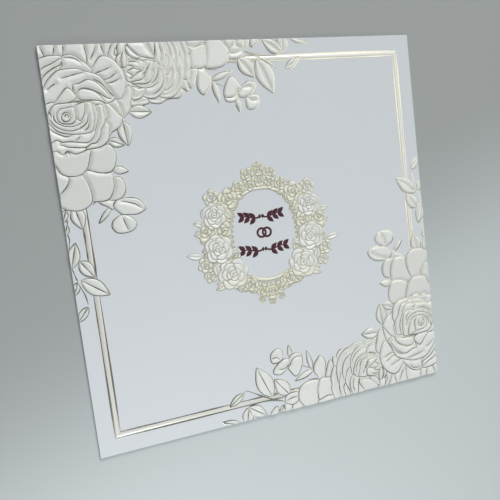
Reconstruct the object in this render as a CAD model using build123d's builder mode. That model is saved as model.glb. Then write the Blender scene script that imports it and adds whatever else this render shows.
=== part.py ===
from build123d import *
import os
from math import cos, pi, radians, sin

# An embossed invitation card: one square sheet of thick board, lying face up, with its back on the XY plane,
# its origin at the middle of the back, +Z out of the printed face and +Y towards the card's top edge.

# Sheet
CARD_WIDTH = 203.2
BOARD_THICKNESS = 1.2

# Frame pressed up inside the edges
FRAME_INSET = 8.3
FRAME_BAR = 2.9
FRAME_RISE = 0.22

# Relief: the lowest leaves, and how much each layer of petals rises over the one below
FIRST_RISE = 0.26
LAYER_RISE = 0.07

# Every place below is a share of the card's side, x to the right and y down from the top left corner.
# Leaves: base x, base y, tip x, tip y and width. Each table is one layer, from the lowest up.
SPRAY_LEAF_LAYERS_SHARES = (
    (
        (0.082, 0.080, 0.078, -0.030, 0.056),
        (0.426, 0.066, 0.426, -0.012, 0.068),
        (0.170, 0.182, 0.177, 0.244, 0.032),
        (0.186, 0.164, 0.243, 0.166, 0.030),
        (0.128, 0.226, 0.166, 0.243, 0.021),
        (0.120, 0.383, 0.199, 0.398, 0.041),
        (0.112, 0.426, 0.171, 0.434, 0.040),
        (0.032, 0.370, 0.041, 0.430, 0.032),
        (0.002, 0.520, 0.019, 0.460, 0.026),
        (0.022, 0.504, 0.053, 0.549, 0.026),
        (0.016, 0.552, 0.082, 0.598, 0.034),
        (0.386, 0.058, 0.384, 0.132, 0.038),
        (0.444, 0.148, 0.459, 0.090, 0.044),
        (0.470, 0.133, 0.522, 0.114, 0.032),
        (0.484, 0.044, 0.523, 0.094, 0.032),
        (0.535, 0.052, 0.570, 0.138, 0.045),
        (0.612, 0.080, 0.658, 0.049, 0.018),
    ),
    (
        (0.096, 0.292, 0.096, 0.369, 0.066),
        (0.376, 0.064, 0.376, 0.010, 0.050),
        (0.175, 0.178, 0.196, 0.100, 0.030),
        (0.137, 0.150, 0.158, 0.210, 0.050),
    ),
    (
        (0.110, 0.236, 0.110, 0.308, 0.066),
        (0.038, 0.304, 0.038, 0.387, 0.074),
    ),
    (
        (0.040, 0.216, 0.040, 0.304, 0.088),
        (0.150, 0.130, 0.152, 0.026, 0.084),
    ),
)

# Roses: each ring of petals by its centre, its radius, the bearing of its first petal from +X towards +Y,
# the pitch from petal to petal and their number, from the outermost ring in. The heart is a leaf on top.
ROSE_RINGS_SHARES = (
    (0.030, 0.138, 0.114, -68, 52, 4),
    (0.035, 0.148, 0.090, -90, 60, 4),
    (0.039, 0.156, 0.066, -118, 60, 5),
    (0.043, 0.163, 0.042, -8, 90, 4),
)
ROSE_HEART_SHARES = (0.030, 0.174, 0.056, 0.156, 0.022)
LAYERS_UNDER_ROSE_COUNT = 4
PEONY_RINGS_SHARES = (
    (0.238, 0.036, 0.116, -108, 36, 5),
    (0.233, 0.044, 0.094, -126, 43, 5),
    (0.227, 0.052, 0.070, -108, 52, 4),
    (0.220, 0.060, 0.044, -130, 72, 5),
)
PEONY_HEART_SHARES = (0.206, 0.004, 0.268, 0.036, 0.040)
LAYERS_UNDER_PEONY_COUNT = 1

# Petal outline on its ring: where its base, just past the ring's centre, and its shoulders lie along the
# radius, and how far it spreads to either side over its pitch.
PETAL_BASE_SHARE = -0.1
PETAL_SHOULDER_SHARE = 0.95
PETAL_SPREAD_SHARE = 0.58

# Wreath, left half: leaves as above, blossoms and roses by their centre and radius.
WREATH_LEAF_SHARES = (
    (0.330, 0.546, 0.282, 0.534, 0.017),
    (0.380, 0.622, 0.346, 0.634, 0.018),
    (0.426, 0.390, 0.470, 0.364, 0.018),
    (0.424, 0.622, 0.466, 0.650, 0.018),
)
WREATH_BLOSSOM_SHARES = (
    (0.338, 0.478, 0.022),
    (0.385, 0.478, 0.023),
    (0.405, 0.400, 0.023),
    (0.334, 0.590, 0.018),
    (0.468, 0.345, 0.016),
    (0.473, 0.673, 0.014),
)
WREATH_AXIS_BLOSSOM_SHARES = (
    (0.500, 0.332, 0.015),
    (0.500, 0.362, 0.015),
    (0.500, 0.662, 0.015),
    (0.500, 0.690, 0.012),
)
WREATH_ROSE_SHARES = (
    (0.368, 0.528, 0.042),
    (0.394, 0.598, 0.041),
    (0.375, 0.437, 0.033),
)
SMALL_ROSE_RING_SHARES = (1.0, 0.6)
SMALL_ROSE_PETAL_COUNT = 6
LAYERS_UNDER_SMALL_ROSE_COUNT = 2
BLOSSOM_PETAL_COUNT = 5
LAYERS_UNDER_BLOSSOM_COUNT = 1
FLOWER_VALLEY_SHARE = 0.76
FLOWER_TIP_SHARE = 0.27

LAYER_COUNT = LAYERS_UNDER_ROSE_COUNT + 2 * len(ROSE_RINGS_SHARES) + 1
SPRAY_TURNS = ((1, 1), (-1, -1))
WREATH_SIDES = ((1, 1), (-1, 1))


def place(x_share, y_share, signs):
    """Point on the card for a share of its side, turned or mirrored about its middle by the two signs."""
    across = x_share * CARD_WIDTH - CARD_WIDTH / 2
    up = CARD_WIDTH / 2 - y_share * CARD_WIDTH
    return Vector(signs[0] * across, signs[1] * up)


def leaf(row, signs):
    """Two arcs from base to tip, bulging to either side by half the width."""
    base = place(row[0], row[1], signs)
    tip = place(row[2], row[3], signs)
    half_width = (tip - base).normalized().rotate(Axis.Z, 90) * (row[4] * CARD_WIDTH / 2)
    middle = (base + tip) / 2
    with BuildLine() as outline:
        ThreePointArc(base, middle - half_width, tip)
        ThreePointArc(tip, middle + half_width, base)
    make_face(outline.edges())


def around(row, reach_share, angle, signs):
    """Point at an angle round a ring's centre, at a share of its radius, half a turn on in a turned spray."""
    reach = signs[1] * reach_share * row[2] * CARD_WIDTH
    return place(row[0], row[1], signs) + Vector(reach * cos(angle), reach * sin(angle))


def petal(row, index, signs):
    """Fan-shaped petal of a ring: two straight flanks from its base and an arc over its tip."""
    first, pitch = row[3:5]
    bearing = radians(first + index * pitch)
    spread = radians(pitch * PETAL_SPREAD_SHARE)
    base = around(row, PETAL_BASE_SHARE, bearing, signs)
    right = around(row, PETAL_SHOULDER_SHARE, bearing - spread, signs)
    tip = around(row, 1, bearing, signs)
    left = around(row, PETAL_SHOULDER_SHARE, bearing + spread, signs)
    with BuildLine() as outline:
        Line(base, right)
        ThreePointArc(right, tip, left)
        Line(left, base)
    make_face(outline.edges())


def flower(row, petals, bearing, signs):
    """Small flower seen from above: blunt petal tips with a valley between them, all edges straight."""
    pitch = 2 * pi / petals
    corners = []
    for index in range(petals):
        angle = bearing + index * pitch
        corners.append(around(row, 1, angle - pitch * FLOWER_TIP_SHARE, signs))
        corners.append(around(row, 1, angle + pitch * FLOWER_TIP_SHARE, signs))
        corners.append(around(row, FLOWER_VALLEY_SHARE, angle + pitch / 2, signs))
    with BuildLine() as outline:
        Polyline(*corners, close=True)
    make_face(outline.edges())


def rose_on_layer(rings, lowest, layer, signs):
    """Petals of a rose that lie on one layer: neighbours in a ring take turns on its two layers."""
    ring, turn = divmod(layer - lowest, 2)
    if layer >= lowest and ring < len(rings):
        for index in range(turn, rings[ring][5], 2):
            petal(rings[ring], index, signs)


def spray_layer(layer, signs):
    """One layer of a corner spray."""
    if layer < len(SPRAY_LEAF_LAYERS_SHARES):
        for row in SPRAY_LEAF_LAYERS_SHARES[layer]:
            leaf(row, signs)
    rose_on_layer(ROSE_RINGS_SHARES, LAYERS_UNDER_ROSE_COUNT, layer, signs)
    rose_on_layer(PEONY_RINGS_SHARES, LAYERS_UNDER_PEONY_COUNT, layer, signs)
    if layer == LAYERS_UNDER_ROSE_COUNT + 2 * len(ROSE_RINGS_SHARES):
        leaf(ROSE_HEART_SHARES, signs)
    if layer == LAYERS_UNDER_PEONY_COUNT + 2 * len(PEONY_RINGS_SHARES):
        leaf(PEONY_HEART_SHARES, signs)


def wreath_layer(layer):
    """One layer of the wreath: both halves, and the blossoms on its axis."""
    upright = WREATH_SIDES[0]
    if layer == LAYERS_UNDER_BLOSSOM_COUNT:
        for row in WREATH_AXIS_BLOSSOM_SHARES:
            flower(row, BLOSSOM_PETAL_COUNT, pi / 2, upright)
    for signs in WREATH_SIDES:
        if layer == 0:
            for row in WREATH_LEAF_SHARES:
                leaf(row, signs)
        if layer == LAYERS_UNDER_BLOSSOM_COUNT:
            for row in WREATH_BLOSSOM_SHARES:
                flower(row, BLOSSOM_PETAL_COUNT, pi / 2, signs)
        ring = layer - LAYERS_UNDER_SMALL_ROSE_COUNT
        if 0 <= ring < len(SMALL_ROSE_RING_SHARES):
            for x_share, y_share, radius_share in WREATH_ROSE_SHARES:
                row = (x_share, y_share, radius_share * SMALL_ROSE_RING_SHARES[ring])
                flower(row, SMALL_ROSE_PETAL_COUNT, ring * pi / SMALL_ROSE_PETAL_COUNT, signs)


with BuildPart() as card:
    with BuildSketch() as sheet:
        Rectangle(CARD_WIDTH, CARD_WIDTH)
    extrude(amount=BOARD_THICKNESS)
    with BuildSketch(Plane.XY) as frame:
        frame_side = CARD_WIDTH - 2 * FRAME_INSET
        opening_side = frame_side - 2 * FRAME_BAR
        Rectangle(frame_side, frame_side)
        Rectangle(opening_side, opening_side, mode=Mode.SUBTRACT)
    extrude(amount=BOARD_THICKNESS + FRAME_RISE)
    for layer in range(LAYER_COUNT):
        with BuildSketch(Plane.XY) as relief:
            for signs in SPRAY_TURNS:
                spray_layer(layer, signs)
            wreath_layer(layer)
        extrude(amount=BOARD_THICKNESS + FIRST_RISE + LAYER_RISE * layer)
    with BuildSketch() as trim:
        Rectangle(CARD_WIDTH, CARD_WIDTH)
    extrude(amount=BOARD_THICKNESS + FIRST_RISE + LAYER_RISE * LAYER_COUNT, mode=Mode.INTERSECT)

os.makedirs("parts", exist_ok=True)
card.part.label = "card"
export_step(card.part, "parts/card.step")
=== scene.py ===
import bpy
import numpy as np
from mathutils import Matrix, Vector


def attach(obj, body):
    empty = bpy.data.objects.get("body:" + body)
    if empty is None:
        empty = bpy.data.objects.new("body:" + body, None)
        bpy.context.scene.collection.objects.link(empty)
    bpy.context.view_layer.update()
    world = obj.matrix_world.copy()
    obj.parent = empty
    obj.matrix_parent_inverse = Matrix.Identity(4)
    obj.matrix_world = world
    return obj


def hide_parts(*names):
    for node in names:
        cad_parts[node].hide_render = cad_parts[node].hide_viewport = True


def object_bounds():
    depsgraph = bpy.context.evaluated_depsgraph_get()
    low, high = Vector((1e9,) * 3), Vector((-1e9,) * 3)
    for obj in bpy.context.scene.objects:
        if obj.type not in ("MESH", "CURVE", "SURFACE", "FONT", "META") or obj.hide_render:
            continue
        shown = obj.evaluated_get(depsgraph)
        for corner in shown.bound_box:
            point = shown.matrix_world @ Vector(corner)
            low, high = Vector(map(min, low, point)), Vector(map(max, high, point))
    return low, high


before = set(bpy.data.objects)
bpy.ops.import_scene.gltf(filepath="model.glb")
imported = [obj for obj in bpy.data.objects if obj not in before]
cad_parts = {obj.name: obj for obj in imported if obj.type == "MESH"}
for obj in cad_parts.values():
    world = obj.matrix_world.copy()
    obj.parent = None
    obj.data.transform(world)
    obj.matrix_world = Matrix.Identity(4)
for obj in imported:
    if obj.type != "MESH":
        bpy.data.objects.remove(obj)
cad_low, cad_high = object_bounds()

# Sheet of the card
# One square of thick white board, cut with a die, so that its edges are straight and barely rounded.
# It lies on its back, and everything else is pressed up from its face or stamped onto it.
SIDE = cad_high.x - cad_low.x
BOARD_TOP = 0.0012
EDGE_ROUND = 0.00018
EDGE_STEPS = 4
PAPER_COLOUR = (0.660, 0.697, 0.725, 1)
PAPER_SHADE = (0.645, 0.682, 0.712, 1)
PAPER_CLOUD_SCALE = 40
PAPER_FIBRE_SCALE = 1500
PAPER_FIBRE_DEPTH = 0.00002
PAPER_ROUGHNESS = 0.62
PAPER_UNEVEN = 0.15


class Value:
    """A socket in a material's nodes. Arithmetic on it adds Math nodes, and node() adds any other."""

    def __init__(self, tree, socket):
        self.tree = tree
        self.socket = socket

    def node(self, kind, settings, inputs, output=0):
        """A node of a kind, its settings made first, then the values or links of its inputs."""
        made = self.tree.nodes.new("ShaderNode" + kind)
        for key, setting in settings.items():
            setattr(made, key, setting)
        plug(made, inputs)
        return Value(self.tree, made.outputs[output])

    def __add__(self, other):
        return self.node("Math", {"operation": "ADD"}, {0: self, 1: other})

    def __mul__(self, other):
        return self.node("Math", {"operation": "MULTIPLY"}, {0: self, 1: other})

    __radd__ = __add__
    __rmul__ = __mul__

    def mix(self, first, second):
        """Colour between two others by this share."""
        return self.node("Mix", {"data_type": "RGBA"}, {0: self, 6: first, 7: second}, output=2)

    def noise(self, scale, detail=2.0):
        """Soft noise from 0 to 1, read at this place."""
        return self.node("TexNoise", {}, {"Vector": self, "Scale": scale, "Detail": detail})


def plug(node, sockets):
    """Values or links into a node's sockets."""
    for key, given in sockets.items():
        if isinstance(given, Value):
            given.tree.links.new(given.socket, node.inputs[key])
        else:
            node.inputs[key].default_value = given


def new_material(name):
    """An empty material: its shader and the place on the piece, in metres."""
    material = bpy.data.materials.new(name)
    material.use_nodes = True
    tree = material.node_tree
    shader = tree.nodes["Principled BSDF"]
    place = Value(tree, tree.nodes.new("ShaderNodeTexCoord").outputs["Object"])
    return material, shader, place


def new_piece(name, vertices, faces, material, smooth=False):
    """A mesh piece of the card, with its places in metres, riding on the card's body."""
    mesh = bpy.data.meshes.new(name)
    mesh.from_pydata(vertices.tolist(), [], faces.tolist())
    mesh.polygons.foreach_set("use_smooth", np.full(len(mesh.polygons), smooth))
    mesh.materials.append(material)
    mesh.update()
    piece = bpy.data.objects.new(name, mesh)
    bpy.context.collection.objects.link(piece)
    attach(piece, "root")
    return piece


def square_bands(insets, heights, joined):
    """Profile carried round the card's square: each point of it is a square ring at an inset and a height.
    A joined profile closes on itself, and an open one starts and ends with a flat cap."""
    half = SIDE / 2 - np.asarray(insets)
    corners = np.array([(-1, -1), (1, -1), (1, 1), (-1, 1)])
    rings = np.empty((len(half), 4, 3))
    rings[:, :, :2] = half[:, None, None] * corners
    rings[:, :, 2] = np.asarray(heights)[:, None]
    low = np.arange(len(half) if joined else len(half) - 1)[:, None]
    side = np.arange(4)[None, :]
    high = (low + 1) % len(half)
    turn = (side + 1) % 4
    quads = np.stack([low * 4 + side, low * 4 + turn, high * 4 + turn, high * 4 + side], axis=-1)
    faces = quads.reshape(-1, 4)
    if not joined:
        caps = np.array([(3, 2, 1, 0), (4 * len(half) - 4 + np.arange(4))])
        faces = np.vstack([faces, caps])
    return rings.reshape(-1, 3), faces


def paper_material(name, colour, shade, fibre_depth, roughness, pearl=0.0):
    """Board: faint clouds in its white, fibres as a fine bump, and as much pearly shine as is asked for."""
    material, shader, place = new_material(name)
    fibre = place.noise(PAPER_FIBRE_SCALE, detail=3.0)
    bump = place.node("Bump", {}, {"Strength": 0.5, "Distance": fibre_depth, "Height": fibre})
    plug(shader, {
        "Base Color": place.noise(PAPER_CLOUD_SCALE).mix(shade, colour),
        "Roughness": roughness + fibre * PAPER_UNEVEN,
        "Metallic": pearl,
        "Specular IOR Level": 0.35,
        "Normal": bump,
    })
    return material


arc = np.linspace(0, np.pi / 2, EDGE_STEPS)
edge_insets = EDGE_ROUND * (1 - np.sin(arc))
edge_heights = EDGE_ROUND * (1 - np.cos(arc))
sheet_insets = np.concatenate([edge_insets, edge_insets[::-1]])
sheet_heights = np.concatenate([edge_heights, BOARD_TOP - edge_heights[::-1]])
sheet = new_piece(
    "card_sheet",
    *square_bands(sheet_insets, sheet_heights, joined=False),
    paper_material("white_board", PAPER_COLOUR, PAPER_SHADE, PAPER_FIBRE_DEPTH, PAPER_ROUGHNESS),
)
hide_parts("card")

# Raised frame
# A low rounded bar pressed up from the board inside its edges, with a pearly coat that shines by its angle.
# A line of gold foil runs along either side of it, and the corner sprays are pressed over it.
FRAME_INSET = 0.0082
FRAME_WIDTH = 0.0035
FRAME_RISE = 0.00020
FRAME_SHOULDER = 0.0009
FRAME_LEDGE = 0.0007
FRAME_ROOT = 0.0003
FRAME_STEPS = 15
FRAME_COLOUR = (0.805, 0.803, 0.745, 1)
FRAME_SHADE = (0.775, 0.773, 0.718, 1)
FRAME_FIBRE_DEPTH = 0.00001
FRAME_ROUGHNESS = 0.30
FRAME_PEARL = 0.30


def swell(depth):
    """Pressed paper rising from a line: steep beside it and level one unit of depth away."""
    return 1 - (1 - np.clip(depth, 0, 1)) ** 2


bar_width = FRAME_WIDTH - 2 * FRAME_LEDGE
bar_across = bar_width * (1 - np.cos(np.linspace(0, np.pi, FRAME_STEPS))) / 2
bar_insets = FRAME_INSET + FRAME_LEDGE + bar_across
bar_depths = np.minimum(bar_across, bar_width - bar_across)
bar_heights = BOARD_TOP + FRAME_RISE * swell(bar_depths / FRAME_SHOULDER)
bar_insets = np.append(bar_insets, bar_insets[[-1, 0]])
bar_heights = np.append(bar_heights, [BOARD_TOP - FRAME_ROOT, BOARD_TOP - FRAME_ROOT])
new_piece(
    "frame_bar",
    *square_bands(bar_insets, bar_heights, joined=True),
    paper_material("pressed_bar", FRAME_COLOUR, FRAME_SHADE, FRAME_FIBRE_DEPTH, FRAME_ROUGHNESS, FRAME_PEARL),
)

# Corner sprays
# Leaves, buds, a rose and a peony pressed up from the board, so that each petal swells between its outlines.
# The same die stands in the top left corner and, half a turn on, in the bottom right one.
# Places are in percent of the side, right and down from the corner; rows run from the front to the back.
LEAF_PEAK, LEAF_BLUNT = 0.85, 0.9
BLADE_STEPS = 37
RIB = slice(4, -5)
STROKE_STEPS = 10
OUTLINE_STEPS = 6
PEONY_HEART = (21.6, 5.6)
FOLD_SHARE = 0.9
FOLD_CLEAR = 0.0009
FOLD_LEAST = 5
SPRAY_STEP = 0.0003
SPRAY_REACHES = (0.0011, 0.0024)
SPRAY_RISE = 0.00064
SPRAY_DOMES = ((4.4, 16.0, 10.5, 0.00025), (23.5, 4.8, 11.0, 0.00022))
SPRAY_EXTENT = (69.0, 67.0)
LINE_HALF = 0.00028
RELIEF_ROOT = 0.0002
RELIEF_LIFT = 0.00001
BAR_FADE = 0.003
EDGE_GAP = 0.0001


def on_card(percent):
    """Places in percent of the side, right and down from the top left corner, as metres from the middle."""
    return (np.asarray(percent, float) * (1, -1) + (-50, 50)) * (SIDE / 100)


def blade(row, peak, blunt, bend=0.0):
    """Outline and axis of a leaf or petal from a row of base x, base y, tip x, tip y and width. At a share s
    of the axis it is width * sin(pi * s ** peak) ** blunt wide. The axis bows aside by bend of its length."""
    base, tip = on_card([row[0:2], row[2:4]])
    share = ((1 - np.cos(np.linspace(0, np.pi, BLADE_STEPS))) / 2)[:, None]
    half = row[4] * SIDE / 200 * np.abs(np.sin(np.pi * share ** peak)) ** blunt
    axis = tip - base
    aside = np.array([-axis[1], axis[0]])
    spine = base + share * axis + 4 * bend * share * (1 - share) * aside
    aside = aside / np.hypot(*axis)
    return np.vstack([spine + half * aside, (spine - half * aside)[-2::-1]]), spine


def leaves(rows, ribbed, peak=LEAF_PEAK, blunt=LEAF_BLUNT):
    """Leaves or buds, each as a path and whether it is closed, with a leaf's midrib before the leaf."""
    made = []
    for row in rows:
        outline, spine = blade(row, peak, blunt)
        if ribbed:
            made.append((spine[RIB], False))
        made.append((outline, True))
    return made


def smooth_path(knots, steps, closed=False):
    """Curve through knots: on each span a cubic whose slope at a knot is half the chord of its neighbours."""
    knots = on_card(knots)
    if closed:
        ends = np.vstack([knots[-1:], knots, knots[:2]])
    else:
        ends = np.vstack([2 * knots[0] - knots[1], knots, 2 * knots[-1] - knots[-2]])
    p0, p1, p2, p3 = ends[:-3], ends[1:-2], ends[2:-1], ends[3:]
    t = np.linspace(0, 1, steps, endpoint=False)[:, None, None]
    curve = p1 + t / 2 * (p2 - p0 + t * (2 * p0 - 5 * p1 + 4 * p2 - p3 + t * (3 * p1 - p0 - 3 * p2 + p3)))
    return np.vstack([curve.transpose(1, 0, 2).reshape(-1, 2), p2[-1:]])


def outlines(shapes):
    """Petals and leaves by the knots of their outlines."""
    return [(smooth_path(knots, OUTLINE_STEPS, closed=True), True) for knots in shapes]


def strokes(paths):
    """Lines pressed in by themselves, such as veins, clefts and stems."""
    return [(smooth_path(knots, STROKE_STEPS), False) for knots in paths]


def path_distance(x, y, path):
    """Distance of each place from the nearest straight piece of a path."""
    start = path[:-1]
    run = path[1:] - start
    from_x = x[..., None] - start[:, 0]
    from_y = y[..., None] - start[:, 1]
    along = (from_x * run[:, 0] + from_y * run[:, 1]) / np.maximum((run ** 2).sum(axis=1), 1e-15)
    along = np.clip(along, 0, 1)
    square = (from_x - along * run[:, 0]) ** 2 + (from_y - along * run[:, 1]) ** 2
    return np.sqrt(square.min(axis=-1))


def inside(x, y, path):
    """Whether a place lies inside a closed path: a line from it to the right crosses the path an odd number
    of times."""
    start, end = path[:-1], path[1:]
    above = (start[:, 1] > y[..., None]) != (end[:, 1] > y[..., None])
    drop = np.where(end[:, 1] == start[:, 1], 1, end[:, 1] - start[:, 1])
    crossing = start[:, 0] + (y[..., None] - start[:, 1]) / drop * (end[:, 0] - start[:, 0])
    return (above & (x[..., None] < crossing)).sum(axis=-1) % 2 == 1


def runs_where(path, shown, least):
    """Stretches of a path over which its places are shown, if they have at least so many knots."""
    ends = np.flatnonzero(np.diff(np.concatenate([[0], shown.astype(int), [0]])))
    return [path[first:last] for first, last in ends.reshape(-1, 2) if last - first >= least]


def folded(shapes, heart, share):
    """Petals with a fold in each: the part of its outline, drawn in towards the flower's heart, that lies
    well inside the petal. A fold is neither closed nor a line of foil, and is marked with None."""
    made = []
    for path, closed in outlines(shapes):
        fold = on_card(heart) + share * (path - on_card(heart))
        shown = inside(*fold.T, path) & (path_distance(*fold.T, path) > FOLD_CLEAR)
        made += [(run, None) for run in runs_where(fold, shown, FOLD_LEAST)]
        made.append((path, closed))
    return made


def press(x, y, layers, reach):
    """Lays the layers from the front to the back over a grid of places: which layer shows at each place, or
    -1, how far it is from that layer's own outline, and from the nearest line in front, up to the reach."""
    owner = np.full(x.shape, -1)
    own = np.full(x.shape, reach)
    front = np.full(x.shape, reach)
    for number, (path, closed) in enumerate(layers):
        low, high = path.min(axis=0) - reach, path.max(axis=0) + reach
        columns = slice(*np.searchsorted(x[0], (low[0], high[0])))
        rows = slice(*np.searchsorted(y[:, 0], (low[1], high[1])))
        free = owner[rows, columns] < 0
        if not free.any():
            continue
        place = x[rows, columns], y[rows, columns]
        line = path_distance(*place, path)
        taken = free & inside(*place, path) if closed else np.zeros(free.shape, bool)
        owner[rows, columns] = np.where(taken, number, owner[rows, columns])
        own[rows, columns] = np.where(taken, np.minimum(line, reach), own[rows, columns])
        nearer = np.minimum(front[rows, columns], line)
        front[rows, columns] = np.where(free & ~taken, nearer, front[rows, columns])
    return owner, own, front


# The rose and the peony go from the front to the back in groups: lines pressed into petals, then the petals.
ROSE = (
    ((
        ((3.9, 16.5), (4.1, 16.0), (4.7, 16.1), (4.6, 16.7)),
    ), (
        ((3.2, 16.3), (3.9, 15.5), (4.9, 15.6), (5.2, 16.4), (4.8, 17.3), (3.9, 17.6), (3.2, 17.1)),
        ((2.1, 15.8), (3.0, 14.7), (4.5, 14.4), (6.0, 14.3), (6.4, 15.5), (6.2, 17.4), (4.9, 18.2),
         (2.6, 17.6)),
        ((5.8, 15.1), (6.3, 14.2), (7.4, 13.6), (8.7, 13.4), (8.7, 14.8), (8.2, 16.4), (7.4, 17.5),
         (6.7, 17.2)),
    )),
    ((
        ((1.6, 15.6), (1.4, 16.8), (2.2, 17.9), (3.6, 18.6), (5.2, 18.8), (6.5, 18.5), (7.8, 17.8)),
        ((0.4, 16.9), (1.4, 18.4), (3.0, 19.4), (5.0, 19.8), (7.2, 19.2), (8.7, 18.0), (9.2, 16.4)),
        ((9.2, 18.0), (8.8, 19.2), (7.9, 20.0)),
        ((0.5, 14.9), (0.8, 15.6), (0.9, 16.4)),
    ), (
        ((8.6, 13.2), (10.3, 13.5), (10.6, 15.0), (10.6, 16.8), (10.3, 18.6), (9.7, 20.1), (8.2, 20.6),
         (5.0, 20.6), (2.2, 19.9), (0.9, 18.7), (0.1, 17.3), (0.3, 15.6), (1.8, 13.6), (4.6, 13.3)),
    )),
    ((
        ((-0.2, 18.7), (1.0, 19.8), (2.4, 20.6), (3.4, 21.0), (4.6, 20.9), (5.0, 20.4)),
        ((6.6, 21.3), (6.0, 21.8), (5.6, 22.1)),
    ), (
        ((10.4, 13.6), (11.4, 15.4), (11.4, 17.2), (10.9, 18.8), (10.3, 20.1), (10.1, 21.0), (9.2, 22.2),
         (7.8, 22.8), (4.5, 22.3), (2.4, 22.2), (1.2, 21.7), (-0.8, 22.0), (-0.8, 16.0), (5.0, 15.0)),
    )),
    ((), (
        ((12.2, 14.0), (13.0, 16.2), (13.0, 17.9), (12.4, 19.1), (11.7, 20.1), (11.5, 21.0), (10.9, 22.2),
         (10.1, 23.0), (8.8, 23.2), (7.4, 23.9), (3.8, 23.5), (2.6, 23.0), (2.2, 22.2), (6.0, 16.0)),
    )),
    ((
        ((8.7, 22.9), (8.0, 23.6), (7.5, 24.4)),
        ((2.6, 24.9), (3.3, 24.4), (3.8, 25.1)),
    ), (
        ((2.0, 13.2), (3.4, 11.6), (5.0, 9.9), (6.0, 10.2), (7.0, 11.5), (6.8, 12.6), (5.0, 13.2),
         (3.0, 13.5)),
        ((6.9, 11.7), (8.2, 10.3), (10.0, 10.4), (11.8, 11.2), (13.0, 12.5), (13.7, 14.0), (12.6, 13.3),
         (10.5, 12.9), (8.2, 12.7)),
        ((6.6, 9.3), (8.2, 8.9), (10.3, 8.1), (12.2, 8.9), (13.8, 10.6), (15.0, 12.6), (14.2, 12.7),
         (12.4, 11.4), (10.0, 10.2), (8.2, 10.2), (7.0, 11.2)),
        ((12.6, 13.2), (13.4, 14.6), (13.6, 17.0), (13.1, 18.0), (13.7, 19.3), (13.5, 21.0), (13.2, 22.4),
         (12.3, 23.4), (10.8, 24.1), (8.0, 24.4), (6.6, 24.9), (4.9, 25.2), (3.6, 24.5), (2.2, 25.1),
         (0.9, 24.2), (-0.8, 23.4), (-0.8, 14.0), (6.0, 13.0)),
    )),
    ((
        ((0.9, 10.0), (1.9, 9.3), (3.0, 8.7)),
        ((4.3, 7.6), (6.0, 7.2), (8.0, 6.7), (9.6, 6.4)),
        ((11.4, 8.0), (13.0, 8.9), (14.4, 10.6), (15.6, 12.4)),
    ), (
        ((-0.8, 11.2), (0.1, 9.6), (1.3, 7.8), (3.4, 6.0), (5.5, 5.5), (8.0, 5.5), (10.2, 6.2), (12.4, 7.0),
         (13.8, 8.2), (15.4, 11.6), (16.0, 12.8), (13.5, 14.0), (5.0, 14.0), (-0.8, 15.0)),
    )),
    ((
        ((5.5, 2.9), (7.2, 3.0), (8.3, 3.4), (9.2, 4.1)),
    ), (
        ((-0.8, 9.4), (0.1, 7.5), (1.4, 6.2), (3.2, 5.1), (5.2, 4.5), (4.4, 5.4), (3.0, 6.8), (0.6, 9.4)),
        ((-0.8, 6.2), (0.9, 4.9), (2.6, 4.2), (4.8, 3.1), (5.1, 3.7), (4.2, 4.7), (2.6, 5.4), (0.8, 6.8)),
        ((3.4, 6.2), (5.0, 4.6), (5.1, 2.9), (5.8, 2.3), (7.2, 2.2), (8.6, 2.8), (10.0, 4.0), (11.2, 5.3),
         (11.4, 6.4), (9.0, 7.4)),
        ((-0.8, 3.6), (1.3, 2.5), (3.6, 2.3), (5.3, 2.6), (4.8, 3.4), (2.6, 4.3), (0.8, 5.0), (-0.8, 5.6)),
    )),
)
ROUND_LEAVES = (
    ((-0.8, 26.2), (0.2, 27.8), (1.0, 29.4), (2.4, 30.2), (4.2, 30.4), (5.8, 30.1), (7.1, 29.0), (7.7, 27.8),
     (8.2, 26.2), (8.3, 24.4), (5.0, 23.0), (-0.8, 23.0)),
    ((8.3, 24.5), (10.0, 24.1), (12.0, 23.6), (13.2, 23.7), (14.1, 25.0), (14.4, 26.4), (14.0, 28.2),
     (13.2, 29.7), (12.0, 30.3), (10.2, 30.2), (8.6, 29.7), (7.3, 28.9), (7.6, 26.6)),
    ((-0.8, 34.8), (0.3, 34.2), (1.5, 33.2), (2.4, 31.9), (2.7, 30.8), (1.8, 29.6), (-0.8, 28.0)),
    ((5.4, 29.9), (6.6, 31.7), (7.1, 33.2), (7.4, 35.2), (7.2, 36.8), (6.4, 37.7), (5.0, 38.4), (3.6, 38.6),
     (1.8, 38.3), (0.4, 37.6), (-0.8, 36.4), (-0.8, 31.0), (2.0, 29.0)),
    ((6.0, 29.5), (9.0, 29.6), (12.5, 30.4), (12.9, 32.4), (12.7, 34.2), (12.2, 35.4), (11.2, 36.7),
     (9.8, 37.0), (8.4, 36.9), (7.0, 36.4), (6.4, 33.0)),
    ((12.4, 31.6), (14.0, 31.5), (15.2, 32.3), (15.6, 34.0), (15.2, 35.6), (14.2, 36.7), (12.6, 37.1),
     (11.0, 36.6), (11.6, 34.0)),
)
BROAD_PETAL_VEINS = (
    ((11.6, 6.9), (13.4, 6.4), (14.6, 6.0), (15.7, 5.6)),
    ((13.6, 8.4), (15.2, 8.1), (16.2, 7.5), (16.9, 7.0)),
    ((13.9, 9.3), (15.6, 9.1), (16.8, 8.7), (17.6, 8.3)),
)
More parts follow.
